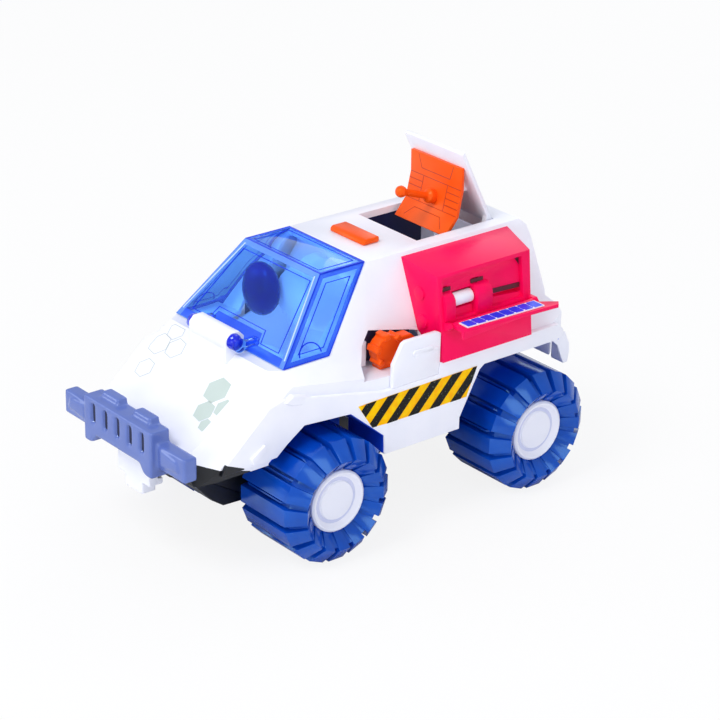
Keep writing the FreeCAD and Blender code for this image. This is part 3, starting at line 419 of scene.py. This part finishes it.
# Tub and seat take the glowing inner white, which is painted light in the cockpit.
REPAINT = {"cockpit_tub": PALE_GLOW, "seat": PALE_GLOW, "solar_strip_l": WHITE, "body_shell": SHELL,
           "side_skirt_l": SKIRT, "side_skirt_r": SKIRT}
ROUND = {"body_shell": 1.2, "canopy": 0.7, "chassis": 0.8, "side_skirt_l": 1.3, "side_skirt_r": 1.3,
         "module_l": 0.6, "roof_button": 1.0, "roof_hatch": 0.4, "rear_bumper": 1.2, "tray_l": 0.4}
TYRE_ROUND, OTHER_ROUND = 0.55, 0.5
MELT = {"bumper": (0.6, 16), "nose_lug": (0.45, 6), "claw_tool_l": (0.4, 5), "claw_tool_r": (0.4, 5),
        "dish_stalk": (0.3, 5), "seat": (0.8, 8)}
FINE = ("body_shell", "side_skirt_l", "side_skirt_r")
UNJOINED = ("hub", "axle", "canopy", "roller")
for node, obj in NODES.items():
    paint(obj, REPAINT.get(node, SLOT_MATERIALS[slot_of[node]]))
    if node in MELT:
        melt(obj, *MELT[node])
        continue
    width = TYRE_ROUND if node.startswith("tyre") else ROUND.get(node, OTHER_ROUND)
    soften(obj, width, segments=4 if node in FINE else 2, joined=not node.startswith(UNJOINED))


# ---- canopy -------------------------------------------------------------------------
low, high = corners("canopy")
SILL, TOP = low[2], high[2]
FOOT_X, FOOT_Y = high[0], -56.5
HEAD_X, HEAD_Y = 28.8, -24.7
HEEL_Y, BACK_Y = -29.2, high[1]
LEAN_X = (FOOT_X - HEAD_X) / (TOP - SILL)
LEAN_Y = (HEAD_Y - FOOT_Y) / (TOP - SILL)
N_SCREEN = Vector((0, -1, LEAN_Y)).normalized()
N_LEFT = Vector((1, 0, LEAN_X)).normalized()
N_RIGHT = Vector((-N_LEFT.x, 0, N_LEFT.z))
N_ROOF = Vector((0, 0, 1))


def on_screen(x, z):
    """Point of the windscreen."""
    return Vector((x, FOOT_Y + LEAN_Y * (z - SILL), z))


def on_side(y, z, side=1):
    """Point of a side window."""
    return Vector((side * (FOOT_X - LEAN_X * (z - SILL)), y, z))


screen = [on_screen(x, z) for x, z in ((-FOOT_X, SILL), (FOOT_X, SILL), (HEAD_X, TOP), (-HEAD_X, TOP))]
ROOF_PLAN = (-HEAD_X, HEAD_Y), (HEAD_X, HEAD_Y), (HEAD_X, BACK_Y), (-HEAD_X, BACK_Y)
roof = [Vector((x, y, TOP)) for x, y in ROOF_PLAN]
left = [on_side(y, z) for y, z in ((FOOT_Y, SILL), (HEEL_Y, SILL), (BACK_Y, TOP), (HEAD_Y, TOP))]
right = [on_side(y, z, -1) for y, z in ((HEEL_Y, SILL), (FOOT_Y, SILL), (HEAD_Y, TOP), (BACK_Y, TOP))]
rims = [ring(roof, 1.6, 0.12, N_ROOF), ring(left, 2.4, 0.15, N_LEFT), ring(right, 2.4, 0.15, N_RIGHT)]
piece("canopy_rims", *merged(rims), RIM, "canopy_body")
piece("canopy_frame_lit", *ring(screen, 2.8, 0.15, N_SCREEN), FRAME_LIT, "canopy_body")

APRON = [(FOOT_X - 3.2, 0.3), (FOOT_X - 4, 3.4), (19, 3.4), (17, 8)]
apron = [on_screen(x, SILL + rise) for x, rise in mirrored(APRON)]
piece("canopy_apron", *slab(apron, N_SCREEN * 0.16), RIM, "canopy_body")

pane = [on_screen(x, z) for x, z in mirrored([(18, 106), (20, 101), (34, 101), (26, 129)])]
PANE_INSETS = (4, 2.4), (-4, 2.4), (-4, -3.4), (4, -3.4)
roof_pane = [corner + Vector((dx, dy, 0)) for corner, (dx, dy) in zip(roof, PANE_INSETS)]
panes = [ring(pane, 0.4, 0.28, N_SCREEN), ring(roof_pane, 0.3, 0.25, N_ROOF), ring(roof, 0.45, 0.2, N_ROOF)]
EAR_Y, EAR_Z, EAR_LONG, EAR_TALL = -39.5, 99.6, 6.4, 5.4
gleams = []
for side, normal, outline in ((1, N_LEFT, left), (-1, N_RIGHT, right)):
    panes += [ring(inset(outline, 4.6, normal), 0.4, 0.26, normal), ring(outline, 0.4, 0.22, normal)]
    turns = [math.radians(a) for a in range(0, 181, 15)]
    arc = [on_side(EAR_Y + EAR_LONG * math.cos(a), EAR_Z + EAR_TALL * math.sin(a), side) for a in turns]
    panes.append(bars(arc, 0.6, 0.24, normal))
    # A pale strip along each windscreen pillar: painted highlight.
    post = [on_screen(side * (FOOT_X - 2.2), SILL + 3), on_screen(side * (HEAD_X - 2.0), TOP - 1.5)]
    gleams.append(bars(post, 0.7, 0.3, N_SCREEN))
piece("canopy_lines", *merged(panes), EDGE, "canopy_body")
piece("canopy_painted_highlights", *merged(gleams), PAINTED_GLEAM, "canopy_body")

hinge = next(j for j in RECORD["behaviour"]["joints"] if j["name"] == "canopy_hinge")["pos_m"]
HINGE_Y, HINGE_Z = hinge[1] / MM, hinge[2] / MM
BALL_X, BALL_R = 15.0, 3.9
balls = [ball((side * BALL_X, HINGE_Y - 1.0, HINGE_Z + 1.2), BALL_R) for _, side in SIDES]
piece("pivot_balls", *merged(balls), BALL, "canopy_body")
BARREL_HALF, BARREL_R = 14.4, 5.75
shoulder = [(BARREL_HALF - 1.5, BARREL_R), (BARREL_HALF - 0.5, BARREL_R - 0.6), (BARREL_HALF, BARREL_R - 1.6),
            (BARREL_HALF, 0)]
barrel = [(-t, r) for t, r in reversed(shoulder)] + shoulder
piece("knuckle_barrel", *lathe(barrel, (0, HINGE_Y, HINGE_Z), (1, 0, 0)), WHITE, "hull", slot="white_shell")


# ---- cockpit and roof bay -------------------------------------------------------------
BULKHEAD_Y, BAY_BACK_Y = 3.0, 90.6
# Bulkhead and bay back are in the glowing inner white: painted light on walls in shade.
bulkhead = mirrored([(33, 86), (33, 103), (26.5, 129.4)])
piece("cockpit_bulkhead", *slab([(x, BULKHEAD_Y, z) for x, z in bulkhead], (0, 0.5, 0)), PALE_GLOW, "hull")
bay_back = mirrored([(21.8, 95.4), (21.8, 124)])
piece("bay_back", *slab([(x, BAY_BACK_Y, z) for x, z in bay_back], (0, 0.3, 0)), PALE_GLOW, "hull")
REST_CENTRE, REST_RADII = (-15, -24, 110), (12.5, 7, 13.5)
piece("head_rest", *oval(REST_CENTRE, REST_RADII), REST, "hull").data.shade_smooth()

BAY_X, BAY_Y0, BAY_Y1, BAY_Z = 22.3, 40.4, 91.0, 95.0
BAY_RIM, BAY_DOOR = ROOF_Z - 3.5, 9.0
LINER = 0.25
linings = [plate((-BAY_X, BAY_X), (BAY_Y0, BAY_Y1), (BAY_Z, BAY_Z + LINER)),
           plate((-BAY_X, BAY_X), (BAY_Y0, BAY_Y0 + LINER), (BAY_Z, BAY_RIM)),
           plate((-BAY_X, -BAY_X + LINER), (BAY_Y0, BAY_Y1 - BAY_DOOR), (BAY_Z, BAY_RIM)),
           plate((BAY_X - LINER, BAY_X), (BAY_Y0, BAY_Y1 - BAY_DOOR), (BAY_Z, BAY_RIM))]
piece("bay_lining", *merged(linings), DEEP, "hull")


# ---- tool pockets, belly, hubs and flaps ------------------------------------------------
# Dark plates at the back of the tool pockets: painted shade in the hollow body.
shade_backs = [plate(sorted((side * 34.6, side * 35.2)), (-16.5, 26), (82.6, 103)) for _, side in SIDES]
piece("pocket_shade_backs", *merged(shade_backs), SHADE, "hull")
posts = [plate(sorted((side * 35.4, side * 40)), (-9, -4.6), (84.2, 97)) for _, side in SIDES]
piece("pocket_posts", *merged(posts), WHITE, "hull", 0.4)

BELLY = [(-98, 44.2), (-93.4, 40.9), (-88, 34.8), (-82, 28.4), (-75, 23.6), (-64, 23.1), (-64, 27),
         (-96, 46.6)]
BELLY_HALF = 21.2
belly = slab([(-BELLY_HALF, y, z) for y, z in BELLY], (2 * BELLY_HALF, 0, 0))
piece("belly_curve", *belly, BLACK, "hull", 0.5)

# A grey-blue ring in each hub's groove: painted shade on the white hub.
GROOVE_R, GROOVE_WIDTH, GROOVE_IN = 12.6, 3.1, 2.6
for axle in ("front", "rear"):
    for tag, side in SIDES:
        low, high = corners("hub_" + axle + tag)
        x = (high[0] if side > 0 else low[0]) - side * GROOVE_IN
        y, z = (low[1] + high[1]) / 2, (low[2] + high[2]) / 2
        turns = [math.radians(a) for a in range(0, 360, 6)]
        outline = [(x, y + side * GROOVE_R * math.cos(a), z + GROOVE_R * math.sin(a)) for a in turns]
        groove_shade = ring(outline, GROOVE_WIDTH, 0.12, Vector((side, 0, 0)))
        piece("hub_shade_ring_" + axle + tag, *groove_shade, GROOVE_SHADE, "wheels_" + axle)

FLAP_X = 57.4
FLAP_BAR = [(8.9, 92.4), (21.4, 92.1), (21.9, 92.7), (21.7, 94.2), (21.0, 94.6), (10.2, 94.6), (9.0, 93.6)]
for tag, side in SIDES:
    flap_bar = slab([(side * FLAP_X, y, z) for y, z in FLAP_BAR], (side * 1.1, 0, 0))
    piece("flap_bar" + tag, *flap_bar, WHITE, "hull", 0.45)


# ---- hood ornament ----------------------------------------------------------------
BROW_Y, BROW_Z, SCUTTLE_Y, SCUTTLE_Z = -99.5, 70.2, -62.9, 96.8
SLOPE = Vector((0, SCUTTLE_Y - BROW_Y, SCUTTLE_Z - BROW_Z)).normalized()
N_HOOD = Vector((0, -SLOPE.z, SLOPE.y))
HOOD_WINDOW = [(-36.4, 2), (32.8, 2), (32.8, 44), (-36.4, 44)]
HEXAGON_TURN = -10.0


def hexagon(x, s, r):
    """Hexagon on the hood, cut at the hood's edges: (across, up the slope from the lower edge)."""
    turns = [math.radians(60 * k + HEXAGON_TURN) for k in range(6)]
    cut = clipped([(x + r * math.cos(a), s + r * math.sin(a)) for a in turns], HOOD_WINDOW)
    return [Vector((u, BROW_Y, BROW_Z)) + SLOPE * v for u, v in cut]


FILLED = (21.6, 25.4, 7.4), (24.4, 13.6, 5.9), (33.2, 19.2, 5.2), (31.0, 8.0, 3.6)
piece("hood_hexagons", *merged([slab(hexagon(*f), N_HOOD * 0.12) for f in FILLED]), GREEN_GREY, "hull")
OUTLINED = (-28.4, 41.4, 5.6), (-31.5, 31.6, 6.4), (-20.6, 33.4, 6.0), (-28.0, 17.6, 5.6)
piece("hood_threads", *merged([ring(hexagon(*f), 0.3, 0.1, N_HOOD) for f in OUTLINED]), LINE, "hull")


# ---- fender scoops ------------------------------------------------------------------
SCOOP = [(-62.5, 84.6), (-57.5, 87.6), (-51.5, 86.2), (-41.5, 81.6), (-46, 80.4), (-58, 82)]
SCOOP_X = 48.4
scoops = [slab([(side * SCOOP_X, y, z) for y, z in SCOOP], (side * 3.4, 0, 0)) for _, side in SIDES]
piece("fender_scoops", *merged(scoops), WHITE, "hull", 0.8)


# ---- hazard stripe ----------------------------------------------------------------
FLANK_X, FLANK_TAPER, BEND_Y = 58.0, 0.1348, -5.0


def on_flank(side, y, z, lift):
    """Point of the skirt's outer face, which turns inwards ahead of the bend, raised by lift."""
    x = FLANK_X + min(0.0, y - BEND_Y) * FLANK_TAPER
    return Vector((side * (x + lift), y, z))


FRONT_STRIPE = [(-14.1, 60.9), (BEND_Y, 61.2), (BEND_Y, 75.3), (-22.0, 73.5)]
REAR_STRIPE = [(BEND_Y, 61.2), (44.2, 61.25), (50.4, 75.9), (BEND_Y, 75.3)]
PITCH, BAR, BAR_Y, SLANT, SQUEEZE = 13.35, 6.65, -7.6, 0.97, 0.82
LOW_Z, HIGH_Z = 60.0, 76.2
LEAN = SLANT * (HIGH_Z - LOW_Z)
for tag, side in SIDES:
    ground, bands = [], []
    for outline, share in ((FRONT_STRIPE, SQUEEZE), (REAR_STRIPE, 1.0)):
        ground.append(slab([on_flank(side, y, z, 0.04) for y, z in outline], (side * 0.2, 0, 0)))
        for k in range(-2, 4):
            y = BAR_Y + k * PITCH
            bar = [(y, LOW_Z), (y + BAR, LOW_Z), (y + BAR + LEAN, HIGH_Z), (y + LEAN, HIGH_Z)]
            bar = clipped([(BEND_Y + (v - BEND_Y) * share, z) for v, z in bar], outline)
            if len(bar) > 2:
                bands.append(slab([on_flank(side, v, z, 0.24) for v, z in bar], (side * 0.12, 0, 0)))
    piece("stripe_ground" + tag, *merged(ground), YELLOW, "hull")
    piece("stripe_bars" + tag, *merged(bands), SPECKLED, "hull")


# ---- bumper slots: painted shade inside them ----------------------------------------
low, high = corners("bumper")
SLOT_Y, SLOT_TOP, SLOT_TALL, SLOT_PITCH = low[1] + 1.3, high[2] - 5.7, 9.8, 9.9
half = [(0.7, 0), (1.4, 0.8), (1.4, SLOT_TALL - 0.8), (0.7, SLOT_TALL)]
slot_shades = []
for k in range(-2, 3):
    outline = [(k * SLOT_PITCH + dx, SLOT_Y, SLOT_TOP - dz) for dx, dz in mirrored(half)]
    slot_shades.append(slab(outline, (0, 0.4, 0)))
piece("bumper_slot_shadows", *merged(slot_shades), SLOT_SHADE, "hull")


# ---- wheel well linings: painted shade and painted tyre-blue reflection -------------
FRONT_WELL = [(-68.6, 55.6), (-50.8, 70.5), (-25.8, 70.5), (-7.3, 55.0)]
REAR_WELL = [(40.5, 51.0), (52.5, 73.4), (55.5, 75.6), (106.0, 75.6)]
WELL_X, WELL_FOOT, SKIN, SKIRT_WALL = 24.0, 44.0, 0.3, 0.9
for tag, side in SIDES:
    strips = []
    for line in (FRONT_WELL, REAR_WELL):
        for (y0, z0), (y1, z1) in zip(line, line[1:]):
            ends = [(side * WELL_X, y0, z0), on_flank(side, y0, z0, -SKIRT_WALL),
                    on_flank(side, y1, z1, -SKIRT_WALL), (side * WELL_X, y1, z1)]
            strips.append(slab(ends, Vector((0, z1 - z0, y0 - y1)).normalized() * SKIN))
    for y, toward in ((-7.0, -1), (40.5, 1)):
        foot = [(side * x, y, z) for x, z in ((31.0, 45.8), (57.1, 45.8), (57.1, 55.0), (31.0, 55.0))]
        strips.append(slab(foot, (0, toward * SKIN, 0)))
    wall = [(FRONT_WELL[0][0], WELL_FOOT), (FRONT_WELL[-1][0], WELL_FOOT)] + FRONT_WELL[::-1]
    strips.append(slab([(side * WELL_X, y, z) for y, z in wall], (-side * SKIN, 0, 0)))
    piece("well_shade_lining" + tag, *merged(strips), WELL_SHADE, "hull")


# ---- module slots: painted shade in the slits and gaps of the recess ----------------
FACE_LOW_X, FACE_LOW_Z, FACE_LEAN, RECESS = 59.2, 84.0, 0.1408, 2.4
MODULE_SLOTS = [[(60, 109.6), (80.6, 108.6), (80.6, 111), (60, 111.9)],
                [(30.6, 117.4), (36.6, 117.4), (36.6, 119.2), (30.6, 119.2)],
                [(49.4, 117.6), (57.4, 117.6), (57.4, 119.4), (49.4, 119.4)],
                [(77.8, 124.4), (80.8, 124.4), (80.8, 120)]]


def in_recess(y, z):
    """Point on the floor of the module's recess."""
    return Vector((FACE_LOW_X - FACE_LEAN * (z - FACE_LOW_Z) - RECESS, y, z))


slot_shades = [slab([in_recess(y, z) for y, z in slot], (0.25, 0, 0)) for slot in MODULE_SLOTS]
piece("module_slot_shadows", *merged(slot_shades), RED_PAINTED_SHADE, "hull")


# ---- dish seams ---------------------------------------------------------------------
DISH_FACE = [(128.5, 61.2), (137.0, 68.3), (150.0, 71.2), (161.3, 71.0)]
SEAM_X = 18.8


def on_dish(x, z):
    """Point of the dish's front face, from its profile of (z, y)."""
    for (z0, y0), (z1, y1) in zip(DISH_FACE, DISH_FACE[1:]):
        if z <= z1 or z1 == DISH_FACE[-1][0]:
            return Vector((x, y0 + (y1 - y0) * (z - z0) / (z1 - z0), z))


seams = [[(-13, 160.6), (-10.5, 153.6), (10.5, 153.6), (13, 160.6)], [(-SEAM_X, 150), (SEAM_X, 150)],
         [(-SEAM_X, 137), (SEAM_X, 137)], [(-13.5, 130.4), (-9.5, 134.4), (9.5, 134.4), (13.5, 130.4)]]
for sign in (-1, 1):
    seams += [[(sign * 9, z), (sign * SEAM_X, z)] for z in (146.8, 143.6, 140.3)]
    seams.append([(sign * 9, 149.8), (sign * 9, 137.2)])
strips = [bars([on_dish(x, z) for x, z in seam], 0.42, 0.1, Vector((0, -1, 0))) for seam in seams]
piece("dish_seams", *merged(strips), SEAM, "dish_body")


# ---- solar cells --------------------------------------------------------------------
low, high = corners("solar_strip_l")
Y0, Y1, CELL_Z = low[1], high[1], high[2]
COUNT, BORDER, GAP = 8, 0.5, 0.16
INNER_X, INNER_FLARE, OUTER_X, OUTER_FLARE = 60.9, 0.8, 67.3, 2.0


def on_strip(share, y, z):
    """Point of the strip, which widens to the rear: share 0 at its inner edge, 1 at its outer edge."""
    t = (y - Y0) / (Y1 - Y0)
    inner = INNER_X + INNER_FLARE * t
    outer = OUTER_X + OUTER_FLARE * t
    return inner + (outer - inner) * share, y, z


base = [on_strip(share, y, CELL_Z - 0.5) for share, y in ((0, Y0), (1, Y0), (1, Y1), (0, Y1))]
piece("solar_base", *slab(base, (0, 0, 0.6)), WHITE, "tray_body_l", slot="white_shell")
DOT = [(0, 0), (0, 0.55), (0.12, 0.55), (0.12, 0)]
cells, dots = [], []
step = (Y1 - Y0 - 2 * BORDER) / COUNT
for k in range(COUNT):
    y = Y0 + BORDER + k * step
    a, b = y + GAP, y + step - GAP
    quad = [on_strip(share, v, CELL_Z + 0.1) for share, v in ((0.05, a), (0.95, a), (0.95, b), (0.05, b))]
    cells.append(slab(quad, (0, 0, 0.08)))
    if k:
        dots += [lathe(DOT, on_strip(share, y, CELL_Z + 0.1), (0, 0, 1), 12) for share in (0.1, 0.9)]
piece("solar_cells", *merged(cells), CELL, "tray_body_l", slot="cell_blue")
piece("solar_dots", *merged(dots), WHITE, "tray_body_l")


# ---- stage and backdrop ---------------------------------------------------------------
FLOOR_HALF, FLOOR_GLOW = 6, 0.86


def pale_floor():
    """Pale floor that reads white to the camera and keeps the object's shadow."""
    mat = bpy.data.materials.new("floor")
    mat.use_nodes = True
    tree = mat.node_tree
    shader = tree.nodes["Principled BSDF"]
    shader.inputs["Base Color"].default_value = (0.86, 0.86, 0.87, 1)
    shader.inputs["Roughness"].default_value = 0.9
    glow = add_node(tree, "Emission", {"Color": (1, 1, 1, 1), "Strength": 1.0})
    ray_mix(tree, "Is Camera Ray", shader.outputs["BSDF"], glow.outputs["Emission"],
            tree.nodes["Material Output"], FLOOR_GLOW)
    return mat


floor_mesh = bpy.data.meshes.new("floor")
floor_corners = [(x * FLOOR_HALF, y * FLOOR_HALF, 0) for x, y in ((-1, -1), (1, -1), (1, 1), (-1, 1))]
floor_mesh.from_pydata(floor_corners, [], [(0, 1, 2, 3)])
floor = bpy.data.objects.new("floor", floor_mesh)
bpy.context.scene.collection.objects.link(floor)
floor.data.materials.append(pale_floor())

world = bpy.data.worlds.new("world")
bpy.context.scene.world = world
world.use_nodes = True
ambient = world.node_tree.nodes["Background"]
ambient.inputs["Color"].default_value = (0.9, 0.93, 1.0, 1)
ambient.inputs["Strength"].default_value = 0.6
plain = add_node(world.node_tree, "Background", {"Color": (1, 1, 1, 1), "Strength": 1.0})
ray_mix(world.node_tree, "Is Camera Ray", ambient.outputs["Background"], plain.outputs["Background"],
        world.node_tree.nodes["World Output"])


# ---- camera and lamps ------------------------------------------------------------------
AZIMUTH, ELEVATION, ROLL = math.radians(50.119), math.radians(24.018), math.radians(-1.289)
CAMERA_X, CAMERA_Y, CAMERA_Z = 0.8783, -0.7089, 0.5751
level = Vector((math.cos(AZIMUTH), math.sin(AZIMUTH), 0))
away = Vector((math.sin(AZIMUTH) * math.cos(ELEVATION), -math.cos(AZIMUTH) * math.cos(ELEVATION),
               math.sin(ELEVATION)))
upright = away.cross(level)
across = level * math.cos(ROLL) - upright * math.sin(ROLL)
up = level * math.sin(ROLL) + upright * math.cos(ROLL)
cam = bpy.data.objects.new("camera", bpy.data.cameras.new("camera"))
cam.data.sensor_width = 36
cam.data.lens = 126.0
cam.matrix_world = Matrix(((across.x, up.x, away.x, CAMERA_X + MID * MM), (across.y, up.y, away.y, CAMERA_Y),
                           (across.z, up.z, away.z, CAMERA_Z), (0, 0, 0, 1)))
bpy.context.scene.collection.objects.link(cam)
bpy.context.scene.camera = cam


def lamp(name, place, height, energy, size):
    """Soft square lamp aimed at a height on the vertical through the origin."""
    data = bpy.data.lights.new(name, "AREA")
    data.energy = energy
    data.size = size
    obj = bpy.data.objects.new(name, data)
    obj.location = place
    obj.rotation_euler = (Vector((0, 0, height)) - Vector(place)).to_track_quat("-Z", "Y").to_euler()
    bpy.context.scene.collection.objects.link(obj)


lamp("key", (0.1, -1.0, 1.5), 0.05, 14, 0.6)
lamp("left", (-1.4, -1.4, 0.75), 0.06, 6, 0.8)
lamp("fill", (1.6, -0.1, 0.7), 0.08, 6, 1.0)
lamp("front", (0.5, -1.6, 0.35), 0.1, 3, 0.6)
lamp("back", (-0.6, 1.2, 1.0), 0.08, 4, 1.0)

bpy.context.scene.view_settings.view_transform = "Standard"
